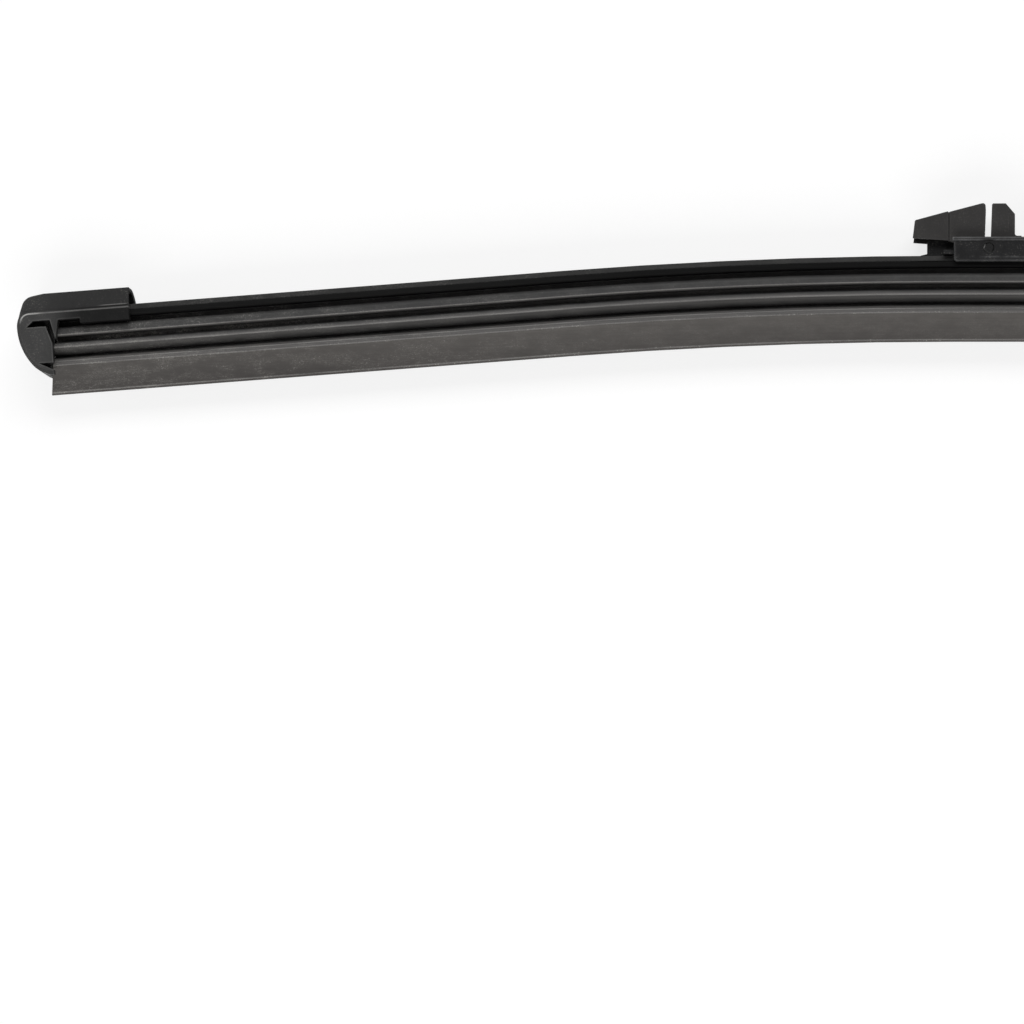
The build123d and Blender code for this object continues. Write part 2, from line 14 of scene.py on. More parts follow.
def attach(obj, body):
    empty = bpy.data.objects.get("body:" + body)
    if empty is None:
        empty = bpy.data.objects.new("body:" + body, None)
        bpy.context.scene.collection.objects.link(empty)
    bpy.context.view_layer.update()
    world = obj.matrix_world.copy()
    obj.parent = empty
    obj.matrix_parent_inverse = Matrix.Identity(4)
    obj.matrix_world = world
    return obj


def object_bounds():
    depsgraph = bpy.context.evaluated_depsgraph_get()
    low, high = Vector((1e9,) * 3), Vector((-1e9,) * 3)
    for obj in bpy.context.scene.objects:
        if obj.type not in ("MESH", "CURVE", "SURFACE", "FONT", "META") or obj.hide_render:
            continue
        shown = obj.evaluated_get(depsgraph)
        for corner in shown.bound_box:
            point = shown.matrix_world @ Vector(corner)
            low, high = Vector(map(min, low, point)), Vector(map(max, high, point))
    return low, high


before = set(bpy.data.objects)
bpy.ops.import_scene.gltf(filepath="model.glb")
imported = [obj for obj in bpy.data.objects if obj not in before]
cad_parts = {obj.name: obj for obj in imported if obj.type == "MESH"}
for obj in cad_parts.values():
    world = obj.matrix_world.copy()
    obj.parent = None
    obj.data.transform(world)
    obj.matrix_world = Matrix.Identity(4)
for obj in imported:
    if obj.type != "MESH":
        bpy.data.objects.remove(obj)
CAD_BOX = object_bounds()

LOG = logging.getLogger("wiper_blade")
MM = 0.001

Colour = tuple[float, float, float]
Point = tuple[float, float, float]
Span = tuple[float, float]
Shares = tuple[float, ...]
Number = Union[int, float]

# Nearly all values of a noise lie in this span
NOISE_SPAN: Span = (0.3, 0.7)


class Slot(Enum):
    """Material slots of the record."""

    RUBBER = "rubber"
    RAIL = "rail"
    CAP = "cap"
    BASE = "base"
    PIN = "pin"
    ADAPTER = "adapter"


class Axis(Enum):
    """Axes of the blade's frame."""

    ALONG = "X"
    ACROSS = "Y"
    UP = "Z"


@dataclass(frozen=True)
class Noise:
    """A noise: sizes of its cells along X, Y and Z in metres, and its finer layers."""

    cells: Point
    layers: float = 2.0
    strength: float = 0.5

    @classmethod
    def even(cls, size: float, layers: float, strength: float) -> "Noise":
        """Noise whose cells have one size along every axis."""
        return cls((size, size, size), layers, strength)


@dataclass(frozen=True)
class Specks:
    """Small round specks, scattered one to a cell; core is the solid part of the radius."""

    spacing: float
    radius: float
    core: float = 0.4


class Field:
    """A node's output socket, for writing shader maths as Python expressions."""

    def __init__(self, graph: "Graph", socket: bpy.types.NodeSocket) -> None:
        """Wraps a socket of a graph."""
        self.graph = graph
        self.socket = socket

    def maths(self, operation: str, *terms: Union["Field", Number]) -> "Field":
        """Adds a Math node.

        Args:
            operation: the Math node's operation.
            terms: its inputs in order.

        Returns:
            The node's result.
        """
        return self.graph.node("ShaderNodeMath", {"operation": operation}, dict(enumerate(terms)))

    def __add__(self, other: Union["Field", Number]) -> "Field":
        """Sum."""
        return self.maths("ADD", self, other)

    __radd__ = __add__

    def __sub__(self, other: Union["Field", Number]) -> "Field":
        """Difference."""
        return self.maths("SUBTRACT", self, other)

    def __rsub__(self, other: Number) -> "Field":
        """Difference from a number."""
        return self.maths("SUBTRACT", other, self)

    def __mul__(self, other: Union["Field", Number]) -> "Field":
        """Product."""
        return self.maths("MULTIPLY", self, other)

    __rmul__ = __mul__

    def __abs__(self) -> "Field":
        """Absolute value."""
        return self.maths("ABSOLUTE", self)

    def at_least(self, other: Union["Field", Number]) -> "Field":
        """The larger of two values."""
        return self.maths("MAXIMUM", self, other)

    def at_most(self, other: Union["Field", Number]) -> "Field":
        """The smaller of two values."""
        return self.maths("MINIMUM", self, other)

    def root(self) -> "Field":
        """Square root."""
        return self.maths("SQRT", self)

    def between(self, low: float, high: float) -> "Field":
        """Stretches a mask so that 0 gives low and 1 gives high."""
        return self * (high - low) + low

    def ramp(self, start: float, end: float) -> "Field":
        """Smooth rise from 0 at start to 1 at end; it falls where end is below start.

        Args:
            start: value that gives 0.
            end: value that gives 1.

        Returns:
            The mask.
        """
        low, high = min(start, end), max(start, end)
        rise = self.graph.node(
            "ShaderNodeMapRange",
            {"interpolation_type": "SMOOTHSTEP"},
            {"Value": self, "From Min": low, "From Max": high},
        )
        return rise if start < end else 1 - rise

    def spread(self) -> "Field":
        """A noise stretched over the whole of 0 to 1."""
        return self.ramp(*NOISE_SPAN)

    def band(self, middle: float, half_width: float) -> "Field":
        """Soft line round one value.

        Args:
            middle: value that gives 1.
            half_width: distance at which the line has faded to 0.

        Returns:
            The mask.
        """
        return abs(self - middle).ramp(half_width, 0.0)

    def bands(self, middles: Sequence[float], half_width: float) -> "Field":
        """Soft lines round several values.

        Args:
            middles: values that give 1.
            half_width: distance at which a line has faded to 0.

        Returns:
            The mask of all the lines.
        """
        mask, *others = [self.band(middle, half_width) for middle in middles]
        for line in others:
            mask = mask.at_least(line)
        return mask


Input = Union[Field, Number, Sequence[float]]


def weigh(shares: Shares, *parts: Field) -> Field:
    """Adds values up, each with its share.

    Args:
        shares: the shares, in the order of the values.
        parts: the values.

    Returns:
        The sum.
    """
    total, *others = [part * share for part, share in zip(parts, shares)]
    for part in others:
        total = total + part
    return total


def swayed(level: float, widths: Shares, *noises: Field) -> Field:
    """A level that noises raise and lower by equal amounts.

    Args:
        level: its middle.
        widths: how far each noise sways it from end to end.
        noises: the noises, from 0 to 1.

    Returns:
        The swaying value.
    """
    return weigh(widths, *noises) + (level - sum(widths) / 2)


class Graph:
    """The node tree of one material."""

    # Samples of an edge mask, and how open a flat face and a sharp edge are to it
    EDGE_SAMPLES = 8
    EDGE_SPAN: Span = (0.97, 0.7)
    # Numbers of the Mix node's sockets for colours
    MIX_SHARE, MIX_FIRST, MIX_SECOND, MIX_RESULT = 0, 6, 7, 2

    def __init__(self, tree: bpy.types.NodeTree) -> None:
        """Empties a node tree and takes it over."""
        self.tree = tree
        tree.nodes.clear()

    def node(
        self,
        kind: str,
        settings: Mapping[str, Any] | None = None,
        inputs: Mapping[str | int, Input] | None = None,
        output: str | int = 0,
    ) -> Field:
        """Adds a node of any type.

        Args:
            kind: the node's type name.
            settings: properties that are set before its sockets.
            inputs: values or links of its sockets, by name or number; a colour may be RGB.
            output: name or number of the socket that is given back.

        Returns:
            The output socket, or the first one.
        """
        node = self.tree.nodes.new(kind)
        for name, value in (settings or {}).items():
            setattr(node, name, value)
        for key, value in (inputs or {}).items():
            socket = node.inputs[key]
            if isinstance(value, Field):
                self.tree.links.new(value.socket, socket)
            elif socket.type == "RGBA":
                socket.default_value = (*value[:3], 1.0)
            else:
                socket.default_value = value
        return Field(self, node.outputs[output] if node.outputs else None)

    def spot(self) -> Field:
        """Place on the blade, in metres."""
        return self.node("ShaderNodeTexCoord", output="Object")

    def axis(self, axis: Axis) -> Field:
        """Place on the blade along one axis, in metres."""
        return self.node("ShaderNodeSeparateXYZ", None, {0: self.spot()}, axis.value)

    def cells(self, sizes: Sequence[float]) -> Field:
        """Place on the blade counted in cells of a size along each axis.

        Args:
            sizes: cell sizes along X, Y and Z, in metres.

        Returns:
            The scaled vector.
        """
        scale = tuple(1.0 / size for size in sizes)
        return self.node(
            "ShaderNodeVectorMath", {"operation": "MULTIPLY"}, {0: self.spot(), 1: scale}
        )

    def noise(self, pattern: Noise) -> Field:
        """Noise between 0 and 1.

        Args:
            pattern: its cells and finer layers.

        Returns:
            The noise value.
        """
        inputs = {
            "Vector": self.cells(pattern.cells),
            "Scale": 1.0,
            "Detail": pattern.layers,
            "Roughness": pattern.strength,
        }
        return self.node("ShaderNodeTexNoise", {"noise_dimensions": "3D"}, inputs, "Fac")

    def specks(self, pattern: Specks) -> Field:
        """Scattered specks.

        Args:
            pattern: their spacing and size.

        Returns:
            Mask of the specks.
        """
        inputs = {"Vector": self.cells([pattern.spacing] * 3), "Scale": 1.0}
        distance = self.node("ShaderNodeTexVoronoi", {"feature": "F1"}, inputs, "Distance")
        rim = pattern.radius / pattern.spacing
        return distance.ramp(rim, pattern.core * rim)

    def edges(self, reach: float) -> Field:
        """Mask of the outer edges of a solid.

        Args:
            reach: how far from an edge the mask begins, in metres.

        Returns:
            0 on flat faces, rising to 1 on sharp outer edges.
        """
        inside = self.node(
            "ShaderNodeAmbientOcclusion",
            {"inside": True, "only_local": True, "samples": self.EDGE_SAMPLES},
            {"Distance": reach},
            "AO",
        )
        return inside.ramp(*self.EDGE_SPAN)

    def mix(self, share: Input, first: Input, second: Input) -> Field:
        """Mixes two colours.

        Args:
            share: 0 gives the first colour and 1 the second.
            first: colour as a field or as RGB.
            second: colour as a field or as RGB.

        Returns:
            The mixed colour.
        """
        inputs = {self.MIX_SHARE: share, self.MIX_FIRST: first, self.MIX_SECOND: second}
        return self.node("ShaderNodeMix", {"data_type": "RGBA"}, inputs, self.MIX_RESULT)

    def bump(self, height: Field, depth: float) -> Field:
        """Normal of a fine relief.

        Args:
            height: relief between 0 and 1.
            depth: its full depth in metres.

        Returns:
            The bumped normal.
        """
        return self.node("ShaderNodeBump", None, {"Height": height, "Strength": 1.0, "Distance": depth})

    def principled(self, **sockets: Input) -> None:
        """Adds the surface shader and links it to the material's output.

        Args:
            sockets: the shader's sockets, with underscores for blanks.
        """
        inputs = {name.replace("_", " "): value for name, value in sockets.items()}
        self.surface(self.node("ShaderNodeBsdfPrincipled", None, inputs))

    def surface(self, shader: Field) -> None:
        """Links a shader to the material's output."""
        self.node("ShaderNodeOutputMaterial", None, {"Surface": shader})


def new_material(name: str) -> tuple[bpy.types.Material, Graph]:
    """Makes an empty node material.

    Args:
        name: name of the finish.

    Returns:
        The material and its graph.
    """
    material = bpy.data.materials.new(name)
    material.use_nodes = True
    return material, Graph(material.node_tree)


@dataclass(frozen=True)
class BeamLine:
    """The curve that the rubber's top follows, seen from the side."""

    seat_half: float = 6.0 * MM
    radius: float = 870.0 * MM
    bend: float = math.radians(4.35)
    drop: float = 3.1 * MM
    half_length: float = 158.75 * MM

    def end_place(self, graph: Graph) -> tuple[Field, Field]:
        """Place beside a blade's end, in line with the straight run there.

        Args:
            graph: the material's graph.

        Returns:
            Distance outward from the rubber's end and height above its top, in metres.
        """
        run = self.half_length - self.seat_half - self.radius * self.bend
        cosine, sine = math.cos(self.bend), math.sin(self.bend)
        end_along = self.seat_half + self.radius * sine + run * cosine
        end_drop = self.drop + self.radius * (1.0 - cosine) + run * sine
        along = abs(graph.axis(Axis.ALONG)) - end_along
        height = graph.axis(Axis.UP) + end_drop
        return along * cosine - height * sine, along * sine + height * cosine

    def depth(self, graph: Graph) -> Field:
        """Depth below the rubber's top, at any place along the blade.

        Args:
            graph: the material's graph.

        Returns:
            The depth in metres.
        """
        along = abs(graph.axis(Axis.ALONG))
        height = graph.axis(Axis.UP)
        reach = (along - self.seat_half).at_least(0.0)
        bent = reach.at_most(self.radius * math.sin(self.bend))
        sag = bent * bent * (0.5 / self.radius) + (reach - bent) * math.tan(self.bend)
        return -1 * height - self.drop - sag


@dataclass(frozen=True)
class RubberFinish:
    """Dark extruded rubber with dust, a brownish bloom, edge wear mixed with painted highlights, painted
    light on flat faces and on the lip's root, and a painted shade line under the head.

    Depths are below the rubber's top, and reaches are from the blade's middle. A patch or a cut is
    the span of a noise over which something sets in.
    """

    name: str = "rubber_extruded"
    dark: Colour = (0.03, 0.0295, 0.0295)
    grey: Colour = (0.055, 0.054, 0.053)
    shade: Colour = (0.006, 0.006, 0.006)
    lip_dark: Colour = (0.035, 0.031, 0.029)
    lip_pale: Colour = (0.092, 0.085, 0.079)
    # Paler colour of the flat faces: painted light where the lamps catch them
    worn: Colour = (0.105, 0.101, 0.098)
    # Colour of the edge lines: wear mixed with painted highlight
    rubbed_and_highlit: Colour = (0.2, 0.194, 0.187)
    dust: Colour = (0.3, 0.29, 0.27)
    roughness: float = 0.6
    specular: float = 0.3
    relief: float = 0.014 * MM

    drawn: Noise = Noise((30 * MM, 0.4 * MM, 0.4 * MM), 3.0, 0.55)
    mottle: Noise = Noise((4.5 * MM, 2.2 * MM, 2.2 * MM), 5.0, 0.65)
    grain: Noise = Noise((0.2 * MM, 0.16 * MM, 0.16 * MM), 3.0, 0.7)
    lint: Noise = Noise((0.5 * MM, 0.22 * MM, 0.22 * MM))
    scratches: Noise = Noise((3.0 * MM, 0.13 * MM, 0.13 * MM))
    specks: Specks = Specks(0.7 * MM, 0.11 * MM)
    crumbs: Specks = Specks(0.45 * MM, 0.13 * MM)

    # Painted shade: a dark line along the gap between the rubber's head and the rails
    head_bottom: float = 0.97 * MM
    head_half: float = 0.3 * MM
    head_shade: float = 0.5
    groove: float = 5.1 * MM
    groove_half: float = 0.6 * MM
    groove_dust: float = 2.0
    # Flat faces that get painted light, broken up by the grain and drawn lines, with a little dust
    facet_depths: tuple[float, ...] = (4.9 * MM, 6.55 * MM, 6.95 * MM, 8.4 * MM, 9.25 * MM)
    facet_half: float = 0.5 * MM
    facet_least: float = 0.5
    facet_dust: float = 0.35
    # Edge lines of the section, partly worn and partly painted highlight
    edge_depths: tuple[float, ...] = (4.55 * MM, 6.62 * MM, 8.9 * MM, 9.6 * MM, 14.05 * MM)
    edge_half: float = 0.2 * MM
    shoulder: float = 8.6 * MM
    shoulder_half: float = 0.3 * MM
    shoulder_edge_share: float = 0.7
    lip_start: Span = (9.3 * MM, 9.9 * MM)
    # Painted light: the lip is paler near its root and fades over these depths
    painted_lip_light: Span = (14.3 * MM, 9.6 * MM)
    lip_edges: tuple[float, ...] = (9.6 * MM, 14.1 * MM)
    crumb_half: float = 0.3 * MM

    bloom_reach: Span = (125 * MM, 75 * MM)
    dust_reach: Span = (40 * MM, 150 * MM)
    film_reach: Span = (105 * MM, 150 * MM)

    grain_breaks: Span = (0.25, 0.65)
    drawn_breaks: Span = (0.3, 0.6)
    speck_patches: Span = (0.46, 0.62)
    crumb_patches: Span = (0.4, 0.56)
    scuff_patches: Span = (0.42, 0.6)
    film_patches: Span = (0.36, 0.66)
    grain_cut: Span = (0.5, 0.68)
    lint_cut: Span = (0.58, 0.7)
    scratch_cut: Span = (0.58, 0.72)

    # Shares of the mottle, the drawn lines and the grain
    tone_shares: Shares = (0.5, 0.25, 0.25)
    # Shares of the tone, the painted light that fades towards the wiping edge, and the bloom
    lip_shares: Shares = (0.5, 0.5, 0.2)
    # Shares of the grain and the drawn lines
    break_shares: Shares = (0.5, 0.5)
    relief_shares: Shares = (0.7, 0.3)
    roughness_sways: Shares = (0.14, 0.1)
    # Shares of the grain, the lint and the scratches
    scuff_shares: Shares = (0.4, 0.5, 0.4)
    speck_share: float = 0.6
    # Least dust at the middle, least film between patches, and both where dust has settled
    middle_dust: float = 0.2
    thin_film: float = 0.3
    settled_scuffs: Span = (0.5, 0.9)
    settled_film: Span = (0.06, 0.46)

    def make(self, beam: BeamLine) -> bpy.types.Material:
        """Builds the material.

        Args:
            beam: line that the depth down the section is measured from.

        Returns:
            The material.
        """
        material, graph = new_material(self.name)
        depth = beam.depth(graph)
        drawn = graph.noise(self.drawn)
        mottle = graph.noise(self.mottle)
        grain = graph.noise(self.grain)
        tone = weigh(self.tone_shares, mottle.spread(), drawn.spread(), grain.spread())
        colour = graph.mix(tone, self.dark, self.grey)
        colour = graph.mix(depth.ramp(*self.lip_start), colour, self.lip_colour(graph, depth, tone))
        broken = weigh(self.break_shares, grain.ramp(*self.grain_breaks), drawn.ramp(*self.drawn_breaks))
        painted_lit_facets = depth.bands(self.facet_depths, self.facet_half)
        # Edge lines: wear mixed with painted highlight
        edges = depth.bands(self.edge_depths, self.edge_half)
        edges = edges.at_least(depth.band(self.shoulder, self.shoulder_half) * self.shoulder_edge_share)
        # Painted light on the flat faces of the section
        colour = graph.mix(painted_lit_facets * broken.between(self.facet_least, 1.0), colour, self.worn)
        colour = graph.mix(edges * broken, colour, self.rubbed_and_highlit)
        # Painted shade along the gap under the rubber's head
        painted_head_shade = depth.band(self.head_bottom, self.head_half) * self.head_shade
        colour = graph.mix(painted_head_shade, colour, self.shade)
        settled = edges.at_least(painted_lit_facets * self.facet_dust)
        settled = settled.at_least(depth.band(self.groove, self.groove_half) * self.groove_dust)
        crumbs = graph.specks(self.crumbs) * depth.bands(self.lip_edges, self.crumb_half)
        dusty = self.dusting(graph, mottle, grain, settled) + crumbs * mottle.ramp(*self.crumb_patches)
        colour = graph.mix(dusty.at_most(1.0), colour, self.dust)
        graph.principled(
            Base_Color=colour,
            Roughness=swayed(self.roughness, self.roughness_sways, grain, drawn),
            Normal=graph.bump(weigh(self.relief_shares, grain, drawn), self.relief),
            Specular_IOR_Level=self.specular,
        )
        return material

    def lip_colour(self, graph: Graph, depth: Field, tone: Field) -> Field:
        """Colour of the lip: paler near its root as painted light, and paler towards the blade's middle.

        Args:
            graph: the material's graph.
            depth: depth below the rubber's top.
            tone: unevenness of the rubber.

        Returns:
            The colour.
        """
        bloom = abs(graph.axis(Axis.ALONG)).ramp(*self.bloom_reach)
        pale = weigh(self.lip_shares, tone, depth.ramp(*self.painted_lip_light), bloom)
        return graph.mix(pale, self.lip_dark, self.lip_pale)

    def dusting(self, graph: Graph, mottle: Field, grain: Field, settled: Field) -> Field:
        """Dust specks, scuffs and a thin film, thicker towards the blade's ends.

        Args:
            graph: the material's graph.
            mottle: patches that gather the dust.
            grain: fine noise that breaks up the scuffs.
            settled: edges and groove in which more dust has settled.

        Returns:
            Share of dust.
        """
        reach = abs(graph.axis(Axis.ALONG))
        ends = reach.ramp(*self.dust_reach).between(self.middle_dust, 1.0)
        specks = graph.specks(self.specks) * mottle.ramp(*self.speck_patches)
        lint = graph.noise(self.lint).ramp(*self.lint_cut)
        scratches = graph.noise(self.scratches).ramp(*self.scratch_cut)
        scuffs = weigh(self.scuff_shares, grain.ramp(*self.grain_cut), lint, scratches)
        scuffs = scuffs * mottle.ramp(*self.scuff_patches) * settled.between(*self.settled_scuffs)
        film = reach.ramp(*self.film_reach) * mottle.ramp(*self.film_patches).between(self.thin_film, 1.0)
        film = film * grain.spread() * settled.between(*self.settled_film)
        return (specks * self.speck_share + scuffs) * ends + film


@dataclass(frozen=True)
class Skin:
    """A moulded surface in the making: its graph, a broad noise and a fine one."""

    graph: Graph
    cloud: Field
    grain: Field


@dataclass(frozen=True)
class MouldedFinish:
    """Moulded plastic with a speckled grain, faint cloudiness, edge wear mixed with painted highlights
    and a little dust.
    """

    name: str
    dark: Colour
    pale: Colour
    # Colour of the outer edges: wear mixed with painted highlight
    rubbed_and_highlit: Colour
    roughness: float
    specular: float
    edge_reach: float = 0.3 * MM
    edge_share: float = 0.5
    edge_least: float = 0.4
    edge_patches: Span = (0.3, 0.65)
    dust: Colour = (0.22, 0.21, 0.19)
    dust_share: float = 0.35
    relief: float = 0.008 * MM
    cloud: Noise = Noise.even(3.0 * MM, 4.0, 0.6)
    grain: Noise = Noise.even(0.18 * MM, 2.0, 0.6)
    powder: Noise = Noise.even(0.26 * MM, 2.0, 0.6)
    powder_cut: Span = (0.54, 0.72)
    powder_patches: Span = (0.34, 0.58)
    specks: Specks = Specks(0.8 * MM, 0.11 * MM)
    speck_patches: Span = (0.4, 0.56)
    # Shares of the cloud and the grain, and of the specks and the powder
    tone_shares: Shares = (0.5, 0.5)
    roughness_sways: Shares = (0.14, 0.08)
    dust_shares: Shares = (0.5, 0.4)

    def speckle(self, skin: Skin) -> Field:
        """Share of dust: specks and a fine powder where the surface is cloudy.

        Args:
            skin: the surface.

        Returns:
            Share between 0 and 1.
        """
        specks = skin.graph.specks(self.specks) * skin.cloud.ramp(*self.speck_patches)
        powder = skin.graph.noise(self.powder).ramp(*self.powder_cut)
        powder = powder * skin.cloud.ramp(*self.powder_patches)
        return weigh(self.dust_shares, specks, powder) * self.dust_share

    def finish_roughness(self, skin: Skin) -> Field:
        """Roughness over the surface."""
        return swayed(self.roughness, self.roughness_sways, skin.cloud, skin.grain)

    def tone(self, skin: Skin) -> Field:
        """Share of the paler colour."""
        return weigh(self.tone_shares, skin.cloud.spread(), skin.grain.spread())

    def wear(self, skin: Skin) -> Field:
        """Share of the edge colour on the outer edges: wear mixed with painted highlight."""
        patchy = skin.cloud.ramp(*self.edge_patches).between(self.edge_least, 1.0)
        return skin.graph.edges(self.edge_reach) * patchy * self.edge_share

    def make(self) -> bpy.types.Material:
        """Builds the material.

        Returns:
            The material.
        """
        material, graph = new_material(self.name)
        skin = Skin(graph, graph.noise(self.cloud), graph.noise(self.grain))
        colour = graph.mix(self.tone(skin), self.dark, self.pale)
        colour = graph.mix(self.wear(skin), colour, self.rubbed_and_highlit)
        colour = graph.mix(self.speckle(skin), colour, self.dust)
        graph.principled(
            Base_Color=colour,
            Roughness=self.finish_roughness(skin),
            Normal=graph.bump(skin.grain, self.relief),
            Specular_IOR_Level=self.specular,
        )
        return material


@dataclass(frozen=True)
class CapFinish(MouldedFinish):
    """Plastic of the end caps, paler towards the tip, with painted highlight lines along the ledge and
    round its corner.

    Places are outward from the rubber's end, and heights are above its top.
    """

    beam: BeamLine = BeamLine()
    mouth: float = -12.3 * MM
    mouth_skin: float = 0.08 * MM
    mouth_clear: float = 0.6 * MM
    wall_top: Span = (-0.2 * MM, -0.5 * MM)
    wall_fade: Span = (-4.8 * MM, 3.4 * MM)
    roof_fade: Span = (-4.0 * MM, 6.0 * MM)
    roof_tones: Span = (0.45, 0.75)
    tipward_share: float = 0.7
    uneven_share: float = 0.15
    uneven_least: float = 0.2
    # Ledge, rim and root: where the painted highlight lines run
    ledge: float = -0.75 * MM
    ledge_root: float = -0.15 * MM
    root_half: float = 0.16 * MM
    root_line: Span = (-6.5 * MM, -8.5 * MM)
    root_share: float = 0.33
    tip_centre: Span = (3.35 * MM, -2.9 * MM)
    rim_radius: float = 3.12 * MM
    rim_corner: float = 0.7 * MM
    rim_half: float = 0.24 * MM
    rim_fade: Span = (-2.6 * MM, -1.1 * MM)
    rim_least: float = 0.3
    # Shares of the grain and the cloud in the breaks of the painted highlight lines
    rim_shares: Shares = (0.4, 0.3)
    grain_breaks: Span = (0.2, 0.55)
    cloud_breaks: Span = (0.25, 0.55)
    corner: Span = (2.0 * MM, 4.4 * MM)
    corner_shares: Span = (0.27, 1.02)
    upper_edges: Span = (-2.6 * MM, -1.6 * MM)
    tip_edges: Span = (0.0, 1.0 * MM)
    tip_dust: Span = (1.0 * MM, 4.0 * MM)
    mouth_dust: Span = (-9.5 * MM, -11.5 * MM)
    dust_least: float = 0.2

    def tone(self, skin: Skin) -> Field:
        """Share of the paler colour: more towards the tip, less so on the roof, none at the mouth.

        Args:
            skin: the surface.

        Returns:
            Share between 0 and 1.
        """
        outward, height = self.beam.end_place(skin.graph)
        walls = height.ramp(*self.wall_top)
        roof = outward.ramp(*self.roof_fade).between(*self.roof_tones)
        # Paler towards the tip on the walls, and along the roof
        tipward = walls * outward.ramp(*self.wall_fade) + (1 - walls) * roof
        uneven = (skin.cloud.spread() + skin.grain.spread()) * self.uneven_share
        mouth = outward.ramp(self.mouth, self.mouth + self.mouth_skin)
        return (tipward * self.tipward_share + uneven * tipward.between(self.uneven_least, 1.0)) * mouth

    def wear(self, skin: Skin) -> Field:
        """Share of the edge colour: painted highlight lines along the ledge, round its corner and at its
        root, and upper edges with wear mixed with painted highlight.

        Args:
            skin: the surface.

        Returns:
            Share between 0 and 1.
        """
        outward, height = self.beam.end_place(skin.graph)
        beside = (outward - self.tip_centre[0]).at_least(0.0)
        above = (height - self.tip_centre[1]).at_least(0.0)
        radius = (beside * beside + above * above).root()
        over = (height - self.ledge + self.rim_corner).at_least(0.0)
        past = (radius - self.rim_radius + self.rim_corner).at_least(0.0)
        rim = (over * over + past * past).root().band(self.rim_corner, self.rim_half)
        rim = rim * height.ramp(*self.rim_fade) * outward.ramp(*self.corner).between(*self.corner_shares)
        away = outward.ramp(self.mouth, self.mouth + self.mouth_clear)
        root = height.band(self.ledge_root, self.root_half) * outward.ramp(*self.root_line) * away
        breaks = skin.grain.ramp(*self.grain_breaks), skin.cloud.ramp(*self.cloud_breaks)
        # Painted highlight lines, broken up by the grain and the cloud
        lines = rim.at_least(root * self.root_share) * (weigh(self.rim_shares, *breaks) + self.rim_least)
        upper = height.ramp(*self.upper_edges).at_least(outward.ramp(*self.tip_edges))
        return lines.at_least(super().wear(skin) * upper * away)

    def speckle(self, skin: Skin) -> Field:
        """Share of dust: more at the tip, and at the mouth on the roof.

        Args:
            skin: the surface.

        Returns:
            Share between 0 and 1.
        """
        outward, height = self.beam.end_place(skin.graph)
        roof = height.ramp(self.ledge, self.ledge_root)
        ends = outward.ramp(*self.tip_dust).at_least(outward.ramp(*self.mouth_dust) * roof)
        return super().speckle(skin) * ends.between(self.dust_least, 1.0)

    def finish_roughness(self, skin: Skin) -> Field:
        """Roughness over the surface: the cut end at the mouth is dull.

        Args:
            skin: the surface.

        Returns:
            The roughness.
        """
        outward, _ = self.beam.end_place(skin.graph)
        cut_end = outward.ramp(self.mouth + self.mouth_skin, self.mouth)
        return super().finish_roughness(skin).at_least(cut_end)


@dataclass(frozen=True)
class BaseFinish(MouldedFinish):
    """Plastic of the connector base: edge wear mixed with painted highlight, painted highlight lines on
    the walls, black inside as painted shade, and a painted shadow under the rim. rubbed outer edges, and
    black inside, where no hand reaches.
    """

    pin_drop: float = 2.1 * MM
    pin_clear: Span = (1.3 * MM, 1.8 * MM)
    # Painted shade: the base is black inside this distance from the middle
    inside: Span = (2.6 * MM, 3.6 * MM)
    wall: Span = (4.3 * MM, 4.9 * MM)
    # Painted highlight line along the top of the walls, and a partly painted one near their bottom
    top: float = -0.3 * MM
    top_half: float = 0.3 * MM
    top_patches: Span = (0.3, 0.6)
    top_shares: Span = (0.28, 0.48)
    # Painted shadow: a dark band just under the rim
    under_rim: float = -0.95 * MM
    under_half: float = 0.2 * MM
    lower_line: float = -3.6 * MM
    lower_half: float = 0.25 * MM
    lower_patches: Span = (0.4, 0.65)
    lower_share: float = 0.3

    def tone(self, skin: Skin) -> Field:
        """Share of the paler colour: none inside, as painted shade, nor in the painted shadow under the
        rim.

        Args:
            skin: the surface.

        Returns:
            Share between 0 and 1.
        """
        # Painted shade: no paler tone inside, where the nose shades it
        outer = abs(skin.graph.axis(Axis.ACROSS)).ramp(*self.inside)
        painted_rim_shadow = skin.graph.axis(Axis.UP).band(self.under_rim, self.under_half)
        return super().tone(skin) * outer * (1 - painted_rim_shadow)

    def wear(self, skin: Skin) -> Field:
        """Share of the edge colour: outer edges with wear mixed with painted highlight, but not the pin's
        hole, a painted highlight line along the top of the walls, and a worn line near their bottom that
        is partly painted highlight.

        Args:
            skin: the surface.

        Returns:
            Share between 0 and 1.
        """
        along, up = skin.graph.axis(Axis.ALONG), skin.graph.axis(Axis.UP)
        height = up + self.pin_drop
        away = (along * along + height * height).root().ramp(*self.pin_clear)
        outer = abs(skin.graph.axis(Axis.ACROSS)).ramp(*self.wall)
        # Painted highlight lines on the walls
        upper = skin.cloud.ramp(*self.top_patches).between(*self.top_shares)
        upper = upper * up.band(self.top, self.top_half)
        lower = skin.cloud.ramp(*self.lower_patches) * self.lower_share
        lower = lower * up.band(self.lower_line, self.lower_half)
        edges = super().wear(skin) * away
        return edges.at_least(upper).at_least(lower) * outer


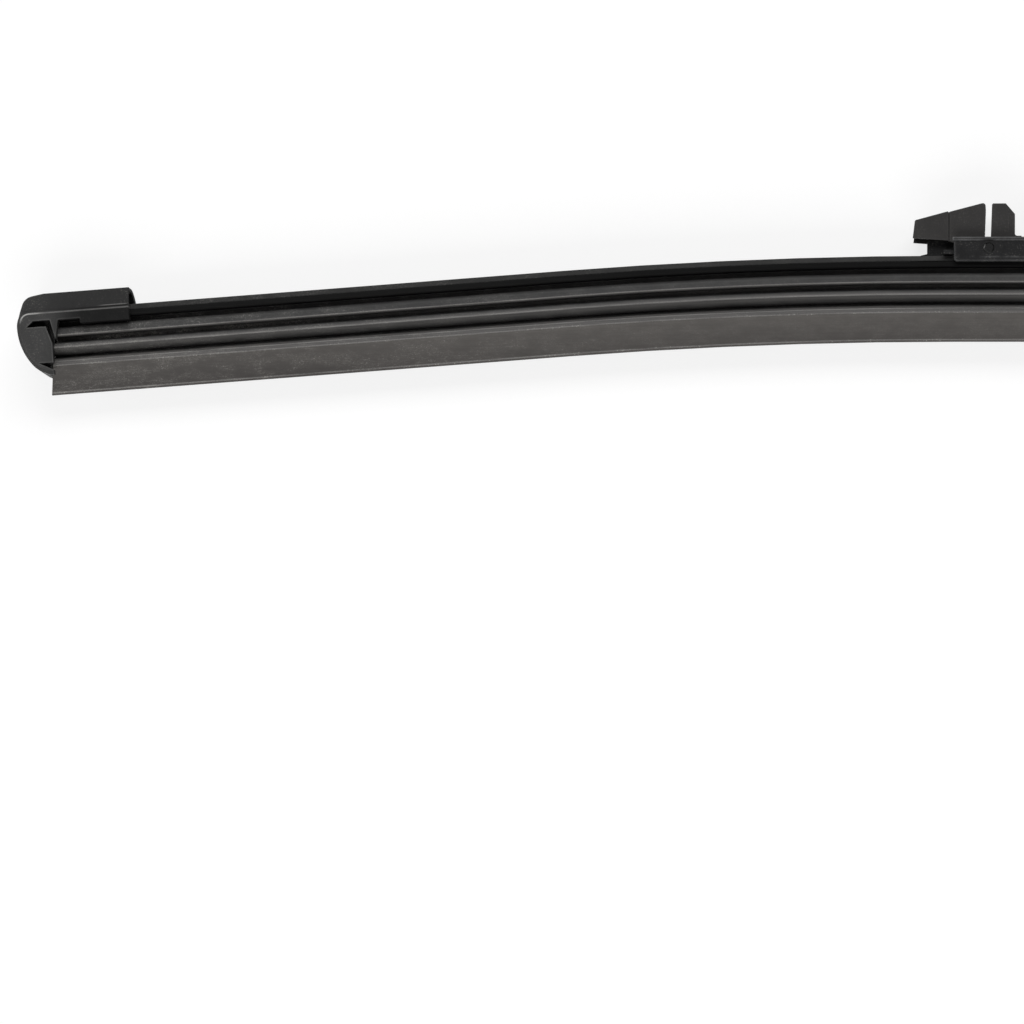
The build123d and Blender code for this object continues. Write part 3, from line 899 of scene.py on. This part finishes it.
@dataclass(frozen=True)
class CoatedSteelFinish:
    """Spring steel under a thin black coat, more worn where the connector doesn't cover it."""

    name: str = "rail_black_coat"
    dark: Colour = (0.0012, 0.0012, 0.0012)
    worn: Colour = (0.009, 0.009, 0.0088)
    roughness: float = 0.5
    specular: float = 0.12
    relief: float = 0.006 * MM
    covered: Span = (20 * MM, 110 * MM)
    rolled: Noise = Noise((22 * MM, 0.3 * MM, 0.3 * MM), 3.0, 0.6)
    rolled_cut: Span = (0.5, 0.8)
    peel: Noise = Noise.even(0.5 * MM, 2.0, 0.5)
    specks: Specks = Specks(2.2 * MM, 0.1 * MM)
    speck_patches: Span = (0.45, 0.6)
    # Shares of the rolled lines, the open reach and the specks
    worn_shares: Shares = (0.6, 0.35, 0.5)
    # Shares of the coat's peel and the rolled lines
    relief_shares: Shares = (0.5, 0.5)
    roughness_sway: float = 0.16

    def make(self) -> bpy.types.Material:
        """Builds the material.

        Returns:
            The material.
        """
        material, graph = new_material(self.name)
        rolled = graph.noise(self.rolled)
        peel = graph.noise(self.peel)
        specks = graph.specks(self.specks) * peel.ramp(*self.speck_patches)
        bare = abs(graph.axis(Axis.ALONG)).ramp(*self.covered)
        share = weigh(self.worn_shares, rolled.ramp(*self.rolled_cut), bare, specks)
        graph.principled(
            Base_Color=graph.mix(share.at_most(1.0), self.dark, self.worn),
            Roughness=swayed(self.roughness, (self.roughness_sway,), rolled),
            Normal=graph.bump(weigh(self.relief_shares, peel, rolled), self.relief),
            Specular_IOR_Level=self.specular,
        )
        return material


@dataclass(frozen=True)
class PinSteelFinish:
    """Blackened steel of the cross pin, brighter on its chamfers, with a painted highlight on its upper
    left.
    """

    name: str = "pin_blackened"
    dark: Colour = (0.022, 0.022, 0.0225)
    bright: Colour = (0.6, 0.6, 0.59)
    roughness: float = 0.45
    relief: float = 0.004 * MM
    drop: float = 2.1 * MM
    # Where the painted highlight on the pin's upper left sets in
    glint_side: Span = (-0.94, 0.34)
    glint_reach: Span = (0.66 * MM, 0.8 * MM)
    chamfer: Span = (0.66 * MM, 0.74 * MM)
    chamfer_shares: Span = (0.06, 0.14)
    drawn: Noise = Noise((0.12 * MM, 6 * MM, 0.12 * MM), 3.0, 0.6)
    drawn_share: float = 0.02
    stain: Noise = Noise.even(0.6 * MM, 3.0, 0.55)
    # Sways by the drawn lines and the stain
    roughness_sways: Shares = (0.2, 0.1)

    def make(self) -> bpy.types.Material:
        """Builds the material.

        Returns:
            The material.
        """
        material, graph = new_material(self.name)
        drawn = graph.noise(self.drawn)
        stain = graph.noise(self.stain)
        along, height = graph.axis(Axis.ALONG), graph.axis(Axis.UP) + self.drop
        # Painted highlight on the pin's upper left
        painted_glint = weigh(self.glint_side, along, height).ramp(*self.glint_reach)
        radius = (along * along + height * height).root()
        rims = radius.ramp(*self.chamfer) * stain.spread().between(*self.chamfer_shares)
        share = (painted_glint + rims + drawn * self.drawn_share).at_most(1.0)
        graph.principled(
            Base_Color=graph.mix(share, self.dark, self.bright),
            Roughness=swayed(self.roughness, self.roughness_sways, drawn, stain),
            Metallic=1.0,
            Normal=graph.bump(drawn, self.relief),
        )
        return material


def dress(node: str, material: bpy.types.Material) -> None:
    """Gives a CAD node its finish.

    Args:
        node: name of the CAD node.
        material: the finish.
    """
    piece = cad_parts[node]
    piece.data.materials.clear()
    piece.data.materials.append(material)
    LOG.info("dressed %s with %s", node, material.name)


@dataclass
class Squeegee:
    """The rubber and the two rails that hold it."""

    beam: BeamLine = BeamLine()
    rubber: RubberFinish = RubberFinish()
    rail: CoatedSteelFinish = CoatedSteelFinish()

    def build(self) -> None:
        """Dresses the rubber and both rails."""
        dress("wiper_rubber", self.rubber.make(self.beam))
        coat = self.rail.make()
        for side in ("near", "far"):
            dress(f"spring_rail_{side}", coat)


@dataclass
class EndCaps:
    """The moulded caps on both ends."""

    finish: CapFinish = CapFinish(
        name="cap_plastic",
        dark=(0.003, 0.003, 0.003),
        pale=(0.052, 0.0515, 0.051),
        rubbed_and_highlit=(0.5, 0.493, 0.48),
        roughness=0.6,
        specular=0.2,
        edge_share=0.086,
        dust_share=0.8,
    )

    def build(self) -> None:
        """Dresses both caps."""
        plastic = self.finish.make()
        for side in ("left", "right"):
            dress(f"end_cap_{side}", plastic)


@dataclass
class Connector:
    """The base on the rails, its cross pin and the arm's adapter."""

    base: BaseFinish = BaseFinish(
        name="base_plastic",
        dark=(0.005, 0.005, 0.0054),
        pale=(0.014, 0.014, 0.0148),
        rubbed_and_highlit=(0.17, 0.17, 0.172),
        roughness=0.48,
        specular=0.2,
        edge_reach=0.4 * MM,
        edge_share=0.55,
        dust_share=0.5,
    )
    adapter: MouldedFinish = MouldedFinish(
        name="adapter_plastic",
        dark=(0.021, 0.0198, 0.0193),
        pale=(0.0315, 0.0298, 0.029),
        rubbed_and_highlit=(0.055, 0.054, 0.053),
        roughness=0.6,
        specular=0.25,
        edge_share=0.3,
        dust_share=0.2,
    )
    pin: PinSteelFinish = PinSteelFinish()
    rim_along: Span = (-6.15 * MM, 13.25 * MM)
    rim_across: Span = (5.1 * MM, 5.52 * MM)
    rim_up: Span = (-0.86 * MM, -0.2 * MM)
    rim_bevel: float = 0.12 * MM
    rim_segments: int = 3
    rim_roundness: float = 0.5

    def rim(self, name: str, side: int, plastic: bpy.types.Material) -> None:
        """Makes the rounded rim along the top of one side wall.

        Args:
            name: name of the piece.
            side: -1 for the near wall, 1 for the far one.
            plastic: finish of the base.
        """
        across = sorted(side * place for place in self.rim_across)
        spans = (self.rim_along, across, self.rim_up)
        shape = bmesh.new()
        bmesh.ops.create_cube(shape, size=1.0)
        bmesh.ops.scale(shape, vec=[high - low for low, high in spans], verts=shape.verts)
        bmesh.ops.translate(shape, vec=[(low + high) / 2 for low, high in spans], verts=shape.verts)
        bmesh.ops.bevel(
            shape,
            geom=list(shape.edges),
            offset=self.rim_bevel,
            segments=self.rim_segments,
            profile=self.rim_roundness,
            affect="EDGES",
        )
        mesh = bpy.data.meshes.new(name)
        shape.to_mesh(mesh)
        shape.free()
        mesh.materials.append(plastic)
        piece = bpy.data.objects.new(name, mesh)
        bpy.context.scene.collection.objects.link(piece)
        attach(piece, "blade")
        LOG.info("made %s", name)

    def build(self) -> None:
        """Dresses the base, the pin and the adapter, and adds the base's rims."""
        plastic = self.base.make()
        dress("connector_base", plastic)
        self.rim("base_rim_near", -1, plastic)
        self.rim("base_rim_far", 1, plastic)
        dress("pivot_pin", self.pin.make())
        dress("arm_adapter", self.adapter.make())


@dataclass(frozen=True)
class Lamp:
    """A soft rectangular lamp that points at a place on the blade."""

    name: str
    place: Point
    aim: Point
    width: float
    height: float
    power: float

    def build(self) -> None:
        """Makes the lamp."""
        data = bpy.data.lights.new(self.name, "AREA")
        data.shape = "RECTANGLE"
        data.size = self.width
        data.size_y = self.height
        data.energy = self.power
        lamp = bpy.data.objects.new(self.name, data)
        lamp.location = self.place
        lamp.rotation_mode = "QUATERNION"
        direction = Vector(self.aim) - Vector(self.place)
        lamp.rotation_quaternion = direction.to_track_quat("-Z", "Y")
        bpy.context.scene.collection.objects.link(lamp)
        LOG.info("lamp %s", self.name)


@dataclass
class Studio:
    """Camera, lamps, pale floor and the white sheet close behind the blade."""

    camera_place: Point = (6.0 * MM, -1125.0 * MM, -133.9 * MM)
    camera_aim: Point = (-80.76 * MM, 0.0, -46.54 * MM)
    camera_roll: float = 0.00782
    lens: float = 234.1
    sensor: float = 36.0
    clip: Span = (0.05, 50.0)
    lamps: tuple[Lamp, ...] = (
        Lamp("key_below", (-0.1, -0.75, -0.8), (-0.06, 0.0, -0.01), width=1.2, height=0.6, power=7.5),
        Lamp("fill_above", (0.1, -1.0, 0.7), (-0.06, 0.0, 0.0), width=1.2, height=0.6, power=10.0),
        Lamp("left_side", (-1.2, -0.7, 0.0), (-0.06, 0.0, 0.0), width=0.6, height=0.9, power=3.5),
        Lamp("back", (-0.3, 1.1, 0.35), (0.0, 0.0, 0.0), width=1.0, height=0.8, power=8.0),
    )
    sheet_gap: float = 0.3 * MM
    sheet_half: float = 1.6
    floor_level: float = -0.2
    floor_half: float = 4.0
    sheet_glow: float = 0.76
    sheet_white: Colour = (0.27, 0.27, 0.27)
    surround: Colour = (1.0, 1.0, 1.0)
    ambient: float = 0.6
    room: float = 0.06
    sheet_edge: Span = (-0.1, 0.35)

    def camera(self) -> None:
        """Makes the camera at the photograph's viewing angle."""
        data = bpy.data.cameras.new("camera")
        data.sensor_width = self.sensor
        data.lens = self.lens
        data.clip_start, data.clip_end = self.clip
        camera = bpy.data.objects.new("camera", data)
        camera.location = self.camera_place
        camera.rotation_mode = "QUATERNION"
        look = (Vector(self.camera_aim) - Vector(self.camera_place)).to_track_quat("-Z", "Y")
        camera.rotation_quaternion = look @ Quaternion((0.0, 0.0, 1.0), self.camera_roll)
        bpy.context.scene.collection.objects.link(camera)
        bpy.context.scene.camera = camera

    def paper(self) -> bpy.types.Material:
        """White paper that shows from its front only and keeps soft shadows.

        Returns:
            The material.
        """
        material, graph = new_material("white_paper")
        behind = graph.node("ShaderNodeNewGeometry", output="Backfacing")
        matt = graph.node("ShaderNodeBsdfDiffuse", None, {"Color": self.sheet_white})
        glow = graph.node("ShaderNodeEmission", None, {"Strength": self.sheet_glow})
        lit = graph.node("ShaderNodeAddShader", None, {0: matt, 1: glow})
        clear = graph.node("ShaderNodeBsdfTransparent")
        graph.surface(graph.node("ShaderNodeMixShader", None, {0: behind, 1: lit, 2: clear}))
        return material

    def plane(self, name: str, corners: Sequence[Point], paper: bpy.types.Material) -> None:
        """Makes a plane that only the camera sees, so that it throws no light on the blade.

        Args:
            name: name of the plane.
            corners: its corners, anticlockwise seen from its front.
            paper: its finish.
        """
        mesh = bpy.data.meshes.new(name)
        mesh.from_pydata(corners, [], [tuple(range(len(corners)))])
        mesh.materials.append(paper)
        plane = bpy.data.objects.new(name, mesh)
        for ray in ("diffuse", "glossy", "transmission", "shadow", "volume_scatter"):
            setattr(plane, f"visible_{ray}", False)
        bpy.context.scene.collection.objects.link(plane)

    def stage(self) -> None:
        """Makes the floor and the sheet behind the blade."""
        paper = self.paper()
        back = CAD_BOX[1].y + self.sheet_gap
        side = self.sheet_half
        low = self.floor_level
        reach = self.floor_half
        sheet = [(-side, back, low), (side, back, low), (side, back, side), (-side, back, side)]
        floor = [(-reach, -reach, low), (reach, -reach, low), (reach, reach, low), (-reach, reach, low)]
        self.plane("white_sheet", sheet, paper)
        self.plane("pale_floor", floor, paper)

    def world(self) -> None:
        """Makes the surround: white to the camera, and to the blade white behind it and dim in front."""
        world = bpy.data.worlds.new("studio")
        bpy.context.scene.world = world
        world.use_nodes = True
        graph = Graph(world.node_tree)
        seen = graph.node("ShaderNodeLightPath", output="Is Camera Ray")
        glossy = graph.node("ShaderNodeLightPath", output="Is Glossy Ray")
        through = graph.node("ShaderNodeLightPath", output="Is Transmission Ray")
        direction = graph.node("ShaderNodeTexCoord", output="Generated")
        towards = graph.node("ShaderNodeSeparateXYZ", None, {0: direction}, Axis.ACROSS.value)
        behind = towards.ramp(*self.sheet_edge)
        mirrored = glossy.at_least(through)
        reflected = mirrored * behind.between(self.room, 1.0)
        lighting = (1 - mirrored) * behind.between(self.room, self.ambient)
        strength = seen.at_least(reflected).at_least(lighting)
        inputs = {"Color": self.surround, "Strength": strength}
        light = graph.node("ShaderNodeBackground", None, inputs)
        graph.node("ShaderNodeOutputWorld", None, {"Surface": light})

    def build(self) -> None:
        """Sets up the whole studio."""
        for lamp in self.lamps:
            lamp.build()
        self.world()
        self.stage()
        self.camera()
        bpy.context.scene.view_settings.view_transform = "Standard"


def main() -> None:
    """Builds every sub-assembly in order, then the studio."""
    logging.basicConfig(level=logging.INFO, format="%(name)s: %(message)s")
    for part in (Squeegee(), EndCaps(), Connector(), Studio()):
        part.build()
        LOG.info("%s done", type(part).__name__)


if __name__ == "__main__":
    main()
